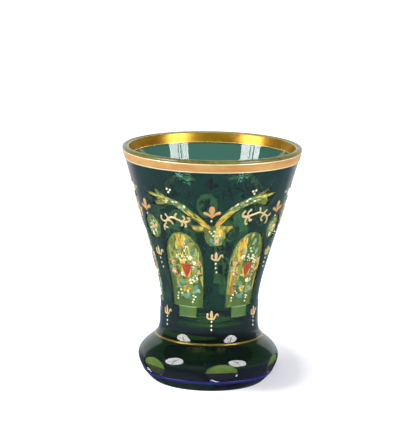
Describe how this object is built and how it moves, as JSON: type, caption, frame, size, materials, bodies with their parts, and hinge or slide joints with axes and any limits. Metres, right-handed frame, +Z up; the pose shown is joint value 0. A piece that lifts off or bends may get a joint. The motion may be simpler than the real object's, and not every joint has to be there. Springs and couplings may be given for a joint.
{
  "type": "goblet",
  "caption": "Footed trumpet-shaped glass goblet: dark green casing cut with arched windows over pale glass, with gilding and enamel.",
  "frame": {"origin": "middle of the flat base on which the goblet stands", "axes": "+Z up along the axis of the glass; -Y is the side with the main winged medallion"},
  "size_m": [0.0904, 0.0904, 0.12],
  "materials": {
    "pale_glass": "polished transparent pale yellow-green glass",
    "green_casing": "polished transparent dark green glass",
    "matt_gilding": "soft matt fired gold",
    "bright_gilding": "burnished gold",
    "red_enamel": "opaque glossy red enamel",
    "blue_enamel": "opaque glossy cobalt enamel"
  },
  "bodies": {
    "root": {"glass_core": "pale_glass", "casing": "green_casing", "gilt_rim_outer": "matt_gilding", "gilt_rim_inner": "bright_gilding", "gilt_waist_line": "bright_gilding", "blue_base_line": "blue_enamel", "gilt_palmette_1": "matt_gilding", "gilt_upper_trident_1": "matt_gilding", "gilt_lower_trident_1": "matt_gilding", "gilt_scroll_1": "matt_gilding", "red_heart_1": "red_enamel", "gilt_palmette_2": "matt_gilding", "gilt_upper_trident_2": "matt_gilding", "gilt_lower_trident_2": "matt_gilding", "gilt_scroll_2": "matt_gilding", "red_heart_2": "red_enamel", "gilt_palmette_3": "matt_gilding", "gilt_upper_trident_3": "matt_gilding", "gilt_lower_trident_3": "matt_gilding", "gilt_scroll_3": "matt_gilding", "red_heart_3": "red_enamel", "gilt_palmette_4": "matt_gilding", "gilt_upper_trident_4": "matt_gilding", "gilt_lower_trident_4": "matt_gilding", "gilt_scroll_4": "matt_gilding", "red_heart_4": "red_enamel", "gilt_palmette_5": "matt_gilding", "gilt_upper_trident_5": "matt_gilding", "gilt_lower_trident_5": "matt_gilding", "gilt_scroll_5": "matt_gilding", "red_heart_5": "red_enamel", "gilt_palmette_6": "matt_gilding", "gilt_upper_trident_6": "matt_gilding", "gilt_lower_trident_6": "matt_gilding", "gilt_scroll_6": "matt_gilding", "red_heart_6": "red_enamel"}
  },
  "joints": []
}
